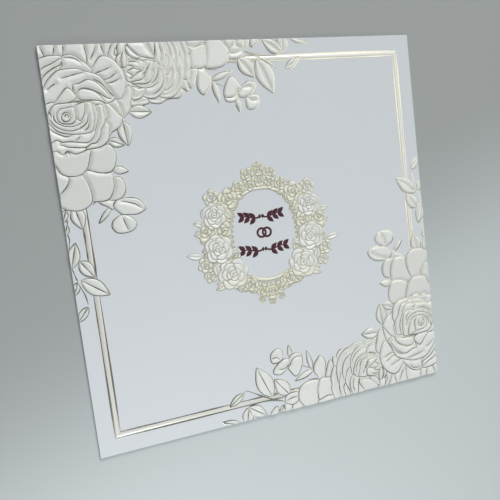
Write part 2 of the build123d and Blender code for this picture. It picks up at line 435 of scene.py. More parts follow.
SIDE_PETALS = (
    ((11.2, 6.2), (12.2, 4.8), (13.4, 3.2), (14.6, 2.8), (15.8, 3.1), (17.2, 4.1), (18.3, 5.6), (19.0, 7.4),
     (19.1, 9.2), (18.7, 10.8), (18.0, 12.3), (17.1, 13.1), (15.8, 12.6), (13.0, 10.0)),
    ((13.2, 13.2), (14.6, 14.3), (15.6, 15.5), (16.5, 16.8), (17.2, 17.6), (16.7, 18.8), (16.0, 19.8),
     (15.2, 20.3), (14.2, 20.8), (13.4, 21.6), (12.8, 19.0), (12.6, 15.0)),
    ((13.4, 13.0), (15.0, 12.2), (16.4, 13.5), (16.9, 15.0), (17.2, 17.5), (16.2, 16.5), (15.0, 14.9)),
    ((16.0, 12.8), (18.4, 11.0), (19.4, 9.9), (20.2, 11.2), (20.0, 12.8), (19.5, 14.5), (19.1, 15.9),
     (18.4, 16.8), (17.4, 17.5), (16.8, 15.6)),
)
NODE_LEAVES = (
    (17.0, 18.2, 17.6, 24.4, 3.5),
    (18.7, 16.2, 24.4, 16.6, 3.2),
    (12.9, 22.6, 16.7, 24.1, 2.3),
)
PEONY = (
    ((), (
        ((21.0, 1.2), (20.6, 0.2), (21.6, -0.8), (24.6, -0.6), (25.6, 1.0), (26.6, 2.6), (26.6, 3.8),
         (25.2, 3.7), (23.2, 3.2), (22.1, 2.4)),
        ((20.1, 0.9), (20.2, 2.2), (20.9, 3.2), (22.2, 3.7), (23.2, 3.6), (22.2, 2.2), (20.8, 0.6)),
    )),
    ((
        ((20.2, 4.5), (21.2, 4.4), (22.4, 4.6)),
        ((19.8, 5.3), (21.0, 5.4), (21.6, 6.1), (23.2, 6.5)),
        ((19.6, 6.8), (20.4, 7.3), (21.1, 7.8), (22.2, 7.1), (23.5, 6.6)),
        ((19.8, 6.6), (20.7, 6.2), (21.4, 6.0)),
        ((20.1, 8.5), (20.7, 8.2), (21.1, 7.8)),
    ), (
        ((19.5, 2.0), (20.1, 3.0), (20.0, 4.6), (19.5, 5.7), (18.8, 5.4), (18.7, 3.6)),
        ((18.9, 2.4), (18.4, 3.6), (18.4, 5.0), (18.9, 6.0), (18.0, 5.2), (17.4, 4.0), (18.0, 2.8)),
        ((19.0, 5.4), (20.4, 3.9), (22.6, 4.0), (23.9, 4.5), (24.0, 5.6), (23.8, 6.3), (24.1, 6.9),
         (23.4, 7.6), (23.1, 8.7), (21.6, 9.0), (19.6, 9.1), (19.0, 7.0)),
    )),
    ((
        ((25.3, 5.3), (24.5, 6.5), (23.9, 7.6), (23.4, 8.6)),
    ), (
        ((22.6, 3.6), (23.6, 4.2), (25.0, 4.2), (26.6, 4.7), (26.5, 5.8), (26.0, 6.8), (25.9, 7.8),
         (25.3, 9.0), (24.2, 9.7), (22.4, 9.8), (20.4, 9.2), (21.0, 6.0)),
    )),
    ((
        ((27.4, 6.0), (27.1, 7.6), (26.3, 9.0), (25.2, 9.8)),
    ), (
        ((26.4, 4.7), (27.5, 5.0), (28.2, 5.9), (28.0, 7.2), (27.5, 8.6), (26.6, 9.8), (25.2, 10.6),
         (23.2, 10.8), (21.4, 10.1), (20.2, 9.0), (22.0, 6.0)),
        ((20.3, 10.4), (22.0, 10.8), (23.4, 10.8), (23.2, 11.9), (22.4, 13.0), (21.2, 13.5), (20.1, 13.3)),
    )),
    ((
        ((25.0, 12.5), (26.5, 11.8), (27.7, 10.6), (28.5, 9.0)),
        ((28.3, 0.6), (28.7, 2.5), (28.3, 4.6)),
    ), (
        ((28.2, 5.6), (28.9, 7.4), (28.9, 9.4), (28.3, 11.2), (27.0, 12.7), (25.3, 13.5), (23.4, 13.1),
         (22.6, 12.0), (24.0, 8.0)),
        ((26.6, 4.8), (27.0, 2.6), (27.2, 0.6), (27.8, -0.8), (28.8, -0.6), (29.6, 1.6), (29.7, 3.4),
         (29.2, 4.9), (28.1, 5.8)),
        ((29.2, -0.8), (30.2, 1.8), (31.0, 3.6), (31.0, 4.8), (30.4, 6.6), (29.6, 7.8), (28.8, 7.5),
         (28.0, 5.6), (28.6, 2.0)),
    )),
    ((), (
        ((30.6, -0.8), (31.6, 1.2), (31.7, 2.8), (31.1, 3.8), (30.2, 2.6), (29.2, -0.4)),
        ((31.1, 4.4), (31.7, 6.4), (31.5, 8.3), (30.9, 9.8), (29.9, 10.9), (28.4, 11.7), (28.0, 10.0),
         (29.4, 6.4)),
        ((32.2, -0.8), (33.0, 1.8), (33.1, 3.9), (32.7, 5.6), (31.9, 7.2), (31.0, 5.0), (30.8, 1.0)),
        ((33.1, 4.1), (33.5, 5.8), (33.4, 8.2), (33.0, 10.0), (32.2, 11.5), (30.6, 13.1), (28.6, 13.6),
         (26.8, 12.8), (28.0, 10.0), (31.0, 6.0)),
        ((34.4, -0.8), (35.2, 1.2), (35.6, 2.8), (35.4, 4.6), (35.5, 6.1), (35.0, 7.8), (34.3, 9.1),
         (33.4, 8.9), (32.8, 5.0), (32.2, -0.6)),
    )),
    ((
        ((22.9, 12.7), (23.6, 12.9), (24.4, 12.9)),
    ), (
        ((33.4, 8.6), (34.0, 9.3), (34.3, 10.8), (34.1, 12.2), (33.2, 11.6), (32.6, 11.2)),
        ((25.0, 13.2), (28.8, 12.6), (32.2, 10.8), (32.9, 11.6), (32.8, 12.6), (31.6, 13.7), (29.8, 13.7),
         (28.2, 14.1), (26.6, 14.8), (24.3, 14.4), (24.0, 13.4)),
        ((19.6, 13.0), (22.4, 12.6), (24.4, 13.0), (24.4, 14.3), (22.4, 14.9), (20.2, 15.0), (19.2, 14.6)),
        ((34.2, 9.2), (35.2, 7.0), (37.0, 6.8), (36.6, 8.6), (36.2, 9.8), (35.6, 11.0), (34.8, 11.4)),
        ((19.6, -0.8), (34.0, -0.8), (34.0, 6.0), (31.0, 12.0), (25.0, 13.4), (20.0, 12.0), (18.4, 5.0)),
    )),
)
TOP_LEAVES = (
    ((35.1, 1.2), (37.0, 1.4), (39.6, 0.8), (39.9, 2.4), (39.8, 4.2), (39.2, 6.0), (38.6, 6.7), (37.0, 6.8),
     (35.6, 6.4), (35.4, 4.6), (35.6, 2.8)),
    ((39.8, 0.8), (41.4, -0.8), (43.4, -0.8), (44.8, 0.6), (45.8, 2.2), (45.7, 4.2), (45.2, 5.4),
     (43.8, 6.5), (41.6, 6.9), (39.4, 6.5), (38.8, 4.0)),
    ((34.0, -0.8), (34.7, 0.9), (36.0, 1.4), (38.0, 1.3), (39.8, 0.8), (40.6, -0.8)),
    ((45.8, 2.6), (46.4, 1.8), (47.6, 1.3), (49.0, 1.8), (49.8, 2.5), (49.7, 4.0), (48.4, 4.7), (46.8, 4.8),
     (45.6, 4.5)),
    ((44.8, 0.6), (46.2, -0.8), (48.0, -0.8), (47.9, 1.0), (46.4, 1.9), (45.8, 2.2)),
    ((47.8, 1.2), (48.4, -0.2), (49.8, -0.8), (50.3, 0.4), (50.0, 2.2), (48.8, 1.8)),
    ((52.0, 1.2), (52.2, 0.1), (53.0, -0.8), (54.8, -0.6), (54.2, 0.8), (53.0, 1.8), (52.2, 1.8)),
)
BUD_CLEFTS = (
    ((14.0, 37.5), (15.8, 38.0), (17.4, 38.7), (18.6, 39.6)),
    ((13.8, 41.6), (14.2, 43.0), (14.7, 44.6)),
    ((47.5, 13.0), (48.7, 12.0), (50.5, 11.9)),
    ((50.0, 14.8), (50.9, 15.4), (52.4, 15.4)),
    ((46.2, 3.3), (47.8, 3.3), (49.4, 2.8)),
)
BUDS = (
    ((12.0, 38.9), (12.2, 37.8), (12.8, 37.2), (14.2, 36.8), (16.4, 36.9), (18.0, 37.4), (19.2, 38.5),
     (19.7, 39.8), (18.8, 40.6), (17.2, 41.1), (15.4, 40.9), (13.6, 40.6)),
    ((13.4, 40.8), (14.8, 41.0), (16.2, 41.9), (17.0, 43.1), (16.6, 44.2), (15.6, 45.0), (13.4, 45.3),
     (11.8, 44.9), (11.0, 43.8), (11.0, 42.7), (11.6, 41.8)),
    ((37.0, 6.7), (38.8, 6.5), (39.6, 7.8), (40.4, 9.2), (40.2, 11.0), (39.2, 12.3), (38.2, 13.3),
     (37.1, 12.6), (36.6, 11.2), (36.8, 9.2)),
    ((44.6, 10.0), (45.4, 9.2), (46.2, 9.2), (47.0, 10.2), (48.0, 11.9), (47.2, 12.6), (46.9, 13.4),
     (46.0, 14.2), (44.6, 14.4), (43.5, 14.1), (43.4, 12.8), (43.9, 11.4)),
    ((47.2, 13.2), (47.5, 12.3), (48.8, 11.3), (50.2, 10.5), (51.6, 10.7), (52.3, 11.2), (52.2, 12.2),
     (51.0, 13.4), (49.8, 14.2), (48.6, 14.6), (47.4, 14.3)),
    ((49.0, 15.4), (49.6, 14.4), (50.8, 13.9), (52.2, 14.0), (52.7, 15.0), (52.5, 16.6), (51.4, 17.6),
     (50.2, 17.8), (49.2, 17.2)),
    ((43.5, 14.0), (45.0, 14.0), (47.0, 13.2), (47.4, 14.4), (46.6, 15.3), (45.0, 15.6), (43.8, 15.2)),
    ((8.4, 36.6), (11.0, 36.6), (12.4, 37.4), (11.8, 39.2), (10.6, 38.5), (9.0, 37.5)),
)
NEEDLES = (
    (11.4, 38.6, 8.0, 42.2, 1.2),
    (40.4, 9.8, 46.3, 7.8, 1.6),
    (40.8, 9.8, 42.0, 15.7, 1.4),
    (46.9, 14.4, 47.1, 18.2, 1.3),
    (12.8, 29.6, 16.8, 30.4, 1.9),
)
SPRIG_LEAVES = (
    (2.9, 37.6, 4.1, 43.1, 3.4),
    (1.9, 55.2, 8.1, 59.8, 3.8),
    (2.2, 50.6, 5.2, 55.0, 3.2),
    (0.2, 52.0, 1.9, 46.1, 3.0),
    (1.0, 55.6, -0.3, 58.9, 1.8),
    (2.6, 61.9, -0.4, 65.4, 2.0),
    (0.9, 38.0, -0.2, 41.2, 1.6),
    (0.6, 41.6, -0.3, 44.6, 1.5),
    (48.4, 4.4, 52.3, 9.6, 3.8),
    (53.5, 5.0, 57.0, 13.9, 4.8),
    (61.3, 7.8, 65.8, 4.9, 2.0),
    (60.5, 3.6, 55.5, 0.0, 3.2),
    (60.5, 3.6, 61.5, -1.5, 3.2),
    (62.8, -0.8, 68.3, 1.3, 2.0),
    (50.2, 1.8, 51.8, -0.4, 1.4),
)
STEMS = (
    ((7.3, 37.7), (7.6, 37.1), (8.4, 37.0)),
    ((1.3, 38.3), (0.9, 40.0), (0.7, 42.0), (0.5, 44.0), (0.7, 45.2), (0.4, 46.6), (0.2, 48.2)),
    ((0.2, 52.0), (1.0, 55.2), (1.6, 57.0), (2.3, 59.0), (2.7, 61.4)),
    ((49.8, 4.1), (52.0, 4.0), (54.0, 4.5), (57.5, 6.5), (60.5, 8.2), (61.3, 7.6)),
    ((49.8, 2.7), (51.6, 3.4), (54.0, 4.0), (57.5, 4.2), (60.5, 3.6), (62.8, -0.4)),
    ((51.4, 5.3), (53.5, 5.2), (55.5, 5.3), (58.2, 6.9)),
    ((38.8, 6.6), (40.3, 7.1), (42.4, 7.3)),
    ((41.3, 10.6), (42.6, 11.0), (43.5, 11.6)),
)
FAN_FOLDS = (
    ((0.7, 0.3), (1.0, 1.3), (1.4, 2.4)),
    ((4.0, -0.4), (3.7, 1.0), (3.3, 2.3)),
    ((5.6, -0.4), (5.8, 0.8), (5.5, 2.4)),
    ((10.5, -0.4), (10.7, 1.5), (10.8, 3.2), (10.7, 4.6)),
    ((13.2, 0.4), (12.6, 1.8), (11.5, 3.6)),
    ((14.2, -0.4), (14.6, 1.2), (14.9, 2.8)),
    ((17.3, -0.4), (16.2, 1.5), (15.6, 3.0)),
    ((19.2, -0.2), (17.6, 1.4), (17.3, 2.8)),
    ((21.8, 0.0), (19.8, 1.6), (17.4, 2.9)),
)
FANS = (
    ((-0.8, -0.8), (22.4, -0.8), (20.4, 1.6), (18.6, 3.4), (17.2, 4.6), (13.0, 6.0), (10.0, 6.0), (4.0, 4.0),
     (-0.8, 4.0)),
)

spray_layers = []
for lines, petals in ROSE:
    spray_layers += strokes(lines) + outlines(petals)
rose_count = len(spray_layers)
spray_layers += outlines(ROUND_LEAVES)
round_count = len(spray_layers)
spray_layers += strokes(BROAD_PETAL_VEINS) + outlines(SIDE_PETALS) + leaves(NODE_LEAVES, ribbed=True)
for lines, petals in PEONY:
    spray_layers += strokes(lines) + folded(petals, PEONY_HEART, FOLD_SHARE)
spray_layers += strokes(BUD_CLEFTS) + outlines(TOP_LEAVES) + outlines(BUDS)
spray_layers += leaves(NEEDLES, ribbed=False) + leaves(SPRIG_LEAVES, ribbed=True)
spray_layers += strokes(STEMS) + strokes(FAN_FOLDS) + outlines(FANS)


def grid_over(low, high, step):
    """Square grid of places from the low corner to the high one."""
    return np.meshgrid(np.arange(low[0], high[0], step), np.arange(low[1], high[1], step))


def relief_height(x, y, own, front, reaches, rise, line_half, domes):
    """Height of the pressed paper over the board: it swells steeply inside its own outline, dips gently
    towards lines in front of it, rises in a dome over each rose, and climbs gently over the frame's bar."""
    rim = swell((own - line_half) / (reaches[0] - line_half))
    dip = swell((front - line_half) / (reaches[1] - line_half))
    inset = SIDE / 2 - np.maximum(np.abs(x), np.abs(y)) - FRAME_INSET
    beside = np.clip(1 + np.minimum(inset, FRAME_WIDTH - inset) / BAR_FADE, 0, 1)
    bar = FRAME_RISE * beside ** 2 * (3 - 2 * beside)
    height = bar + (rise - bar) * rim * dip
    for dome_x, dome_y, radius, dome_rise in domes:
        middle = on_card((dome_x, dome_y))
        away = np.hypot(x - middle[0], y - middle[1]) / (radius * SIDE / 100)
        height = height + dome_rise * np.clip(1 - away ** 2, 0, 1)
    return height


def relief_mesh(x, y, z, covered):
    """Surface over the covered places of a grid, with a skirt down into the board wherever it ends, and for
    each of its points the grid place that it stands on."""
    kept = covered[:-1, :-1] | covered[1:, :-1] | covered[:-1, 1:] | covered[1:, 1:]
    number = np.arange(x.size).reshape(x.shape)
    corners = np.stack([number[:-1, :-1], number[:-1, 1:], number[1:, 1:], number[1:, :-1]], axis=-1)
    top = corners[kept]
    framed = np.pad(kept, 1)
    rim = np.vstack([
        corners[kept & ~framed[:-2, 1:-1]][:, [0, 1]],
        corners[kept & ~framed[1:-1, 2:]][:, [1, 2]],
        corners[kept & ~framed[2:, 1:-1]][:, [2, 3]],
        corners[kept & ~framed[1:-1, :-2]][:, [3, 0]],
    ])
    skirt = np.stack([rim[:, 1], rim[:, 0], rim[:, 0] + x.size, rim[:, 1] + x.size], axis=-1)
    places = np.stack([x, y, z], axis=-1).reshape(-1, 3)
    feet = places * (1, 1, 0) + (0, 0, BOARD_TOP - RELIEF_ROOT)
    used, faces = np.unique(np.vstack([top, skirt]), return_inverse=True)
    return np.vstack([places, feet])[used], faces.reshape(-1, 4), used % x.size


# The grid's columns are counted from the left edge of the card, and its rows from the top edge.
spray_low = np.array([EDGE_GAP - SIDE / 2, on_card(SPRAY_EXTENT)[1]])
spray_high = np.array([on_card(SPRAY_EXTENT)[0], SIDE / 2 - EDGE_GAP])
spray_low[1] = spray_high[1] - SPRAY_STEP * int((spray_high[1] - spray_low[1]) / SPRAY_STEP)
spray_x, spray_y = grid_over(spray_low, spray_high + (0, SPRAY_STEP / 2), SPRAY_STEP)
spray_owner, spray_own, spray_front = press(spray_x, spray_y, spray_layers, SPRAY_REACHES[1])
spray_height = relief_height(
    spray_x, spray_y, spray_own, spray_front, SPRAY_REACHES, SPRAY_RISE, LINE_HALF, SPRAY_DOMES
)

PETAL_COLOUR = (0.782, 0.804, 0.772, 1)
PETAL_SHADE = (0.740, 0.762, 0.730, 1)
# The crease colour is painted shade in the creases; the tint colour is the round leaves' own tone and also
# painted shade where petals dip under lines in front.
PETAL_CREASE_SHADE = (0.540, 0.550, 0.520, 1)
PETAL_TINT_AND_SHADE = (0.660, 0.675, 0.640, 1)
PETAL_CLOUD_SCALE = 260
PETAL_GRAIN_SCALE = 2300
PETAL_GRAIN_DEPTH = 0.00004
PETAL_ROUGHNESS = 0.46
PETAL_UNEVEN = 0.2
# Painted shade in the creases along the lines and on what dips under a line in front of it, and the round
# leaves' own darker tone
CREASE_SHADE_TONE = 0.45
CREASE_REACH = 0.0015
CREASE_POWER = 3
PAINTED_SHADE_TONE = 0.25
PAINTED_SHADE_FROM = 1.5
PAINTED_SHADE_REACH = 0.0012
ROUND_LEAF_TINT = 0.4


def petal_material(name, colour, shade, crease_shade_colour, tint_and_shade):
    """Pressed board: warmer than the flat face, with a leathery grain and a faint pearly shine. A crease
    attribute darkens it along the lines with painted shade in the creases, and a tint attribute tones whole
    leaves and petals and, on the sprays, also carries painted shade where a petal dips under a line in front
    of it."""
    material, shader, place = new_material(name)
    crease_shade = place.node("Attribute", {"attribute_name": "crease_shade"}, {}, output="Fac")
    tint_and_shade_share = place.node("Attribute", {"attribute_name": "tint_and_shade"}, {}, output="Fac")
    grain = place.noise(PETAL_GRAIN_SCALE)
    clouds = tint_and_shade_share.mix(place.noise(PETAL_CLOUD_SCALE).mix(shade, colour), tint_and_shade)
    bump = place.node("Bump", {}, {"Strength": 0.7, "Distance": PETAL_GRAIN_DEPTH, "Height": grain})
    plug(shader, {
        "Base Color": crease_shade.mix(clouds, crease_shade_colour),
        "Roughness": PETAL_ROUGHNESS + grain * PETAL_UNEVEN,
        "Specular IOR Level": 0.5,
        "Metallic": 0.13,
        "Coat Weight": 0.25,
        "Coat Roughness": 0.35,
        "Normal": bump,
    })
    return material


def crease_shade_falloff(away, reach, power):
    """Strength of painted shade beside a line: 1 on it and 0 a reach away, by a power of the share of the
    reach that is left.
    """
    return np.clip(1 - away / reach, 0, 1) ** power


def relief_piece(name, mesh, turn, material, crease_shade, tint_and_shade):
    """A piece of pressed relief, turned or mirrored by the signs of turn, with its tones and its painted
    shade as attributes.
    """
    places, faces, knots = mesh
    if turn[0] * turn[1] < 0:
        faces = faces[:, ::-1]
    piece = new_piece(name, places * (*turn, 1), faces, material, smooth=True)
    for title, values in (("crease_shade", crease_shade), ("tint_and_shade", tint_and_shade)):
        tone = piece.data.attributes.new(title, "FLOAT", "POINT")
        tone.data.foreach_set("value", values.reshape(-1)[knots])


petal_paper = petal_material("pressed_petals", PETAL_COLOUR, PETAL_SHADE, PETAL_CREASE_SHADE, PETAL_TINT_AND_SHADE)
# Painted shade: the petals darken towards their own lines and the lines in front, in the creases.
spray_crease_shade = CREASE_SHADE_TONE * crease_shade_falloff(np.minimum(spray_own, spray_front), CREASE_REACH, CREASE_POWER)
# Painted shade where a petal dips under a line in front of it, plus the round leaves' own darker tone.
spray_tint_and_shade = np.clip(PAINTED_SHADE_FROM - spray_front / PAINTED_SHADE_REACH, 0, 1) * PAINTED_SHADE_TONE
spray_tint_and_shade[(spray_owner >= rose_count) & (spray_owner < round_count)] += ROUND_LEAF_TINT
spray_top = BOARD_TOP + RELIEF_LIFT + spray_height
spray_mesh = relief_mesh(spray_x, spray_y, spray_top, spray_owner >= 0)
relief_piece("spray_top_left", spray_mesh, (1, 1), petal_paper, spray_crease_shade, spray_tint_and_shade)
relief_piece("spray_bottom_right", spray_mesh, (-1, -1), petal_paper, spray_crease_shade, spray_tint_and_shade)

# Foil outlines of the sprays and the frame
# Thin gold foil, stamped hot into the creases along every outline, vein and stem, and along the frame.
# Each line swells and thins a little, as a drawn one does, and slopes down away from its own petal.
FOIL_STEP = 0.0004
FOIL_HALF = 0.00025
FOIL_LIFT = 0.00006
FOIL_CROWN = 0.000012
FOIL_SLOPE = 0.14
FOIL_LEAST = 4
FOIL_END = 0.35
FOIL_TAPER = 6
FOIL_WAVE_MEAN, FOIL_WAVE = 0.9, 0.28
FOIL_WAVE_TURN, FOIL_WAVE_SHIFT = 7, 1.7
FOIL_COLOUR = (0.72, 0.715, 0.60, 1)
FOIL_SHADE = (0.49, 0.485, 0.395, 1)
FOIL_WEAR_SCALE = 900
FOIL_GRAIN_SCALE = 3000
FOIL_GRAIN_DEPTH = 0.00002
FOIL_ROUGHNESS = 0.18
FOIL_UNEVEN = 0.1
FRAME_FOIL_HALF = 0.00038
FRAME_FOIL_LEAST = 7


def even_path(path, step):
    """The same path with knots at equal distances."""
    run = np.concatenate([[0], np.cumsum(np.hypot(*np.diff(path, axis=0).T))])
    at = np.linspace(0, run[-1], max(int(run[-1] / step) + 1, 4))
    return np.column_stack([np.interp(at, run, path[:, 0]), np.interp(at, run, path[:, 1])])


def shown_runs(layers, owner, low, step, foil_step, first=0, least=FOIL_LEAST):
    """Stretches of the layers' paths that no layer in front covers and that stay on the card, each with the
    side on which its own petal lies: 1 for the left of its course, -1 for the right, 0 for a line by itself.
    What covers a knot is read at the nearest place of the relief's grid. Layers are numbered from first."""
    runs = []
    limit = SIDE / 2 - 2 * EDGE_GAP
    last_spot = np.array(owner.shape)[::-1] - 1
    for number, (path, closed) in enumerate(layers, first):
        if closed is None:
            continue
        area = (path[:-1, 0] * path[1:, 1] - path[1:, 0] * path[:-1, 1]).sum()
        side = np.sign(area) if closed else 0
        path = even_path(path, foil_step)
        column, row = np.clip(np.rint((path - low) / step).astype(int), 0, last_spot).T
        front = owner[row, column]
        shown = ((front < 0) | (front >= number)) & (np.abs(path).max(axis=1) < limit)
        runs += [(run, side) for run in runs_where(path, shown, least)]
    return runs


def ribbon(path, half, height, crown, slope=0.0):
    """A low ridge carried along a path: two edges, a crown between them and a keel below, with closed ends.
    Its left edge lies higher than its right one by the slope times its width."""
    tangent = np.gradient(path, axis=0)
    tangent /= np.maximum(np.hypot(*tangent.T), 1e-12)[:, None]
    aside = np.column_stack([-tangent[:, 1], tangent[:, 0]]) * half[:, None]
    rise = crown * half / half.max()
    ring = np.empty((len(path), 4, 3))
    ring[:, :, :2] = path[:, None, :]
    ring[:, 0, :2] -= aside
    ring[:, 2, :2] += aside
    ring[:, :, 2] = height[:, None]
    ring[:, 0, 2] -= slope * half
    ring[:, 2, 2] += slope * half
    ring[:, 1, 2] += rise
    ring[:, 3, 2] -= rise
    low = np.arange(len(path) - 1)[:, None] * 4
    side = np.arange(4)[None, :]
    turn = (side + 1) % 4
    faces = np.stack([low + side, low + 4 + side, low + 4 + turn, low + turn], axis=-1).reshape(-1, 4)
    last = 4 * len(path) - 4
    caps = np.array([(0, 1, 2, 3), (last + 3, last + 2, last + 1, last)])
    return ring.reshape(-1, 3), np.vstack([faces, caps])


def joined(meshes):
    """Several meshes as one: their points in a row, and the faces of each counted on from those before it."""
    starts = np.cumsum([0] + [len(places) for places, _ in meshes])
    faces = [faces + start for (_, faces), start in zip(meshes, starts)]
    return np.vstack([places for places, _ in meshes]), np.vstack(faces)


def foil_mesh(runs, half, drape):
    """Ribbons along all the runs, laid at the height that drape gives. Each is thinner at its ends, and its
    width goes up and down with a sine along it."""
    meshes = []
    for number, (run, side) in enumerate(runs):
        share = np.linspace(0, 1, len(run))
        taper = FOIL_END + (1 - FOIL_END) * np.minimum(1, FOIL_TAPER * np.minimum(share, 1 - share))
        wave = FOIL_WAVE_MEAN + FOIL_WAVE * np.sin(FOIL_WAVE_TURN * share + FOIL_WAVE_SHIFT * number)
        meshes.append(ribbon(run, half * taper * wave, drape(run), FOIL_CROWN, side * FOIL_SLOPE))
    return joined(meshes)


def spray_drape(place):
    """Floor of the creases: the board, the frame's bar and the domes, with no swelling of the petals."""
    floor_height = relief_height(*place.T, 0, 0, SPRAY_REACHES, 0, LINE_HALF, SPRAY_DOMES)
    return BOARD_TOP + FOIL_LIFT + floor_height


def board_drape(place):
    """The board's flat face."""
    return np.full(len(place), BOARD_TOP + FOIL_LIFT)


# A soft metal shine, a little uneven where the stamp pressed harder.
gold_foil, foil_shader, foil_place = new_material("gold_foil")
foil_wear = foil_place.noise(FOIL_WEAR_SCALE, detail=3.0)
foil_grain = foil_place.noise(FOIL_GRAIN_SCALE)
plug(foil_shader, {
    "Base Color": foil_wear.mix(FOIL_SHADE, FOIL_COLOUR),
    "Metallic": 1.0,
    "Roughness": FOIL_ROUGHNESS + foil_wear * FOIL_UNEVEN,
    "Normal": foil_place.node(
        "Bump", {}, {"Strength": 0.2, "Distance": FOIL_GRAIN_DEPTH, "Height": foil_grain}
    ),
})
spray_runs = shown_runs(spray_layers, spray_owner, spray_low, SPRAY_STEP, FOIL_STEP)
foil_places, foil_faces = foil_mesh(spray_runs, FOIL_HALF, spray_drape)
new_piece("foil_top_left", foil_places, foil_faces, gold_foil)
new_piece("foil_bottom_right", foil_places * (-1, -1, 1), foil_faces, gold_foil)

# The frame's two lines run up the left side and along the top, behind every layer of the spray.
frame_lines = []
for line_inset in (FRAME_INSET + FRAME_LEDGE / 2, FRAME_INSET + FRAME_WIDTH - FRAME_LEDGE / 2):
    frame_lines.append(((SIDE / 2 - line_inset) * np.array([(-1, -1), (-1, 1), (1, 1)]), False))
frame_runs = shown_runs(
    frame_lines, spray_owner, spray_low, SPRAY_STEP, SPRAY_STEP,
    first=len(spray_layers), least=FRAME_FOIL_LEAST,
)
frame_places, frame_faces = foil_mesh(frame_runs, FRAME_FOIL_HALF, board_drape)
new_piece("frame_foil_left_top", frame_places, frame_faces, gold_foil)
new_piece("frame_foil_right_bottom", frame_places * (-1, -1, 1), frame_faces, gold_foil)

# Wreath
# An oval of small white roses and leaves over a bed of cream blossoms and leaves, round the card's middle.
# It is pressed finer than the sprays, with foil in its creases. The left half is mirrored for the right one.
WREATH_STEP = 0.00022
WREATH_REACHES = (0.0005, 0.0014)
WREATH_RISE = 0.00062
WREATH_LINE_HALF = 0.00010
WREATH_FOIL_HALF = 0.00008
WREATH_FOIL_STEP = 0.0003
WREATH_LOW = (27.5, 70.5)
WREATH_HIGH = (50, 30.5)
BED_MIDDLE = (49.9, 51.0)
BED_REACH = (13.2, 14.0)
BED_LEAF_COUNT = 23
BED_LEAF_LENGTH, BED_LEAF_SPARE = 1.5, 3.1
BED_LEAF_FOOT = 0.4
OPENING_MIDDLE = (49.9, 50.5)
OPENING_REACH = (10.5, 11.9)
OPENING_BAND = 0.8
OPENING_ANGLES = np.radians(np.linspace(-4, 28, 17))
ROUND_PEAK, ROUND_BLUNT = 1.0, 0.5
HEART_REACH, HEART_FOOT = 0.22, 0.12
HEART_PETALS = 3
HEART_SPREAD = 0.9
HEART_SWAY, HEART_STRETCH, HEART_BEND = 9, 0.06, 0.07
CUP_BLUNT, CUP_BEND, CUP_SWAY = 0.65, 0.15, 8
SWAY_BEAT, STRETCH_BEAT, BEND_BEAT = 2.4, 1.9, 3.1
EYE_REACH = 0.14
BLOSSOM_TURN = 70
# Rings of curled petals, in radii of the flower: reach, number, turn, and a petal's length and width.
ROSE_RINGS = (
    (0.26, 4, 20, 0.52, 0.30),
    (0.47, 5, 50, 0.80, 0.40),
    (0.70, 6, 5, 0.95, 0.46),
)
BLOSSOM_RINGS = (
    (0.36, 3, 0, 0.75, 0.42),
    (0.74, 5, 30, 1.0, 0.56),
)
WREATH_ROSES = (
    (36.8, 52.8, 3.7, 15),
    (39.9, 59.8, 4.0, 50),
    (36.6, 44.0, 3.1, 80),
)
WREATH_BLOSSOMS = (
    (33.8, 47.9, 2.3),
    (38.4, 48.0, 2.2),
    (40.7, 40.2, 2.4),
    (36.4, 39.3, 1.9),
    (32.6, 56.4, 1.7),
    (33.9, 59.4, 1.6),
    (41.0, 54.8, 1.4),
    (46.9, 34.4, 1.6),
    (49.9, 33.3, 1.5),
    (44.0, 37.6, 1.6),
    (47.0, 37.2, 1.4),
    (49.9, 36.0, 1.7),
    (44.6, 63.4, 1.6),
    (47.4, 65.4, 1.5),
    (49.9, 66.4, 1.6),
    (47.2, 67.7, 0.9),
    (49.9, 68.6, 0.9),
)
WREATH_LEAVES = (
    (32.2, 54.2, 28.2, 53.4, 1.6),
    (38.2, 62.0, 34.7, 63.4, 1.7),
    (37.8, 61.0, 35.0, 61.9, 1.5),
    (38.6, 63.2, 42.2, 62.9, 1.4),
    (41.2, 63.0, 41.6, 65.2, 1.0),
    (35.8, 59.6, 35.2, 56.2, 1.8),
    (39.8, 54.4, 42.3, 53.0, 1.3),
    (33.2, 45.8, 31.0, 45.4, 1.3),
    (32.6, 47.6, 30.8, 48.6, 1.0),
    (34.0, 44.6, 33.6, 42.0, 1.4),
    (49.9, 32.9, 49.9, 31.4, 0.9),
)


def heart_petals(x, y, reach, first):
    """Petals round the middle of a rose, each a blade from near it out to a circle. Its angle, length and
    bend are made a little uneven by sines of its number."""
    made = []
    for index in range(HEART_PETALS):
        sway = HEART_SWAY * np.sin(SWAY_BEAT * index + first)
        angle = np.radians(first + 360 / HEART_PETALS * index + sway)
        stretch = 1 + HEART_STRETCH * np.sin(STRETCH_BEAT * index + first)
        way = np.array([np.cos(angle), np.sin(angle)]) * reach * stretch
        foot, tip = np.array([x, y]) + HEART_FOOT * way, np.array([x, y]) + way
        row = (*foot, *tip, HEART_SPREAD * 2 * np.pi * reach / HEART_PETALS)
        bend = HEART_BEND * np.sin(BEND_BEAT * index)
        made.append((blade(row, ROUND_PEAK, ROUND_BLUNT, bend)[0], True))
    return made


def cup_petals(x, y, radius, first, rings):
    """Petals curled round a flower's middle, ring by ring from the inside: blades laid across the way out and
    bowed outwards, with their angles made a little uneven by a sine of their number."""
    made = []
    for reach, count, turn, length, width in rings:
        start = first + turn
        for index in range(count):
            sway = CUP_SWAY * np.sin(SWAY_BEAT * index + start)
            angle = np.radians(start + 360 / count * index + sway)
            way = np.array([np.cos(angle), np.sin(angle)])
            across = np.array([-way[1], way[0]]) * (length * radius) / 2
            middle = np.array([x, y]) + reach * radius * way
            row = (*(middle - across), *(middle + across), width * radius)
            made.append((blade(row, ROUND_PEAK, CUP_BLUNT, CUP_BEND)[0], True))
    return made


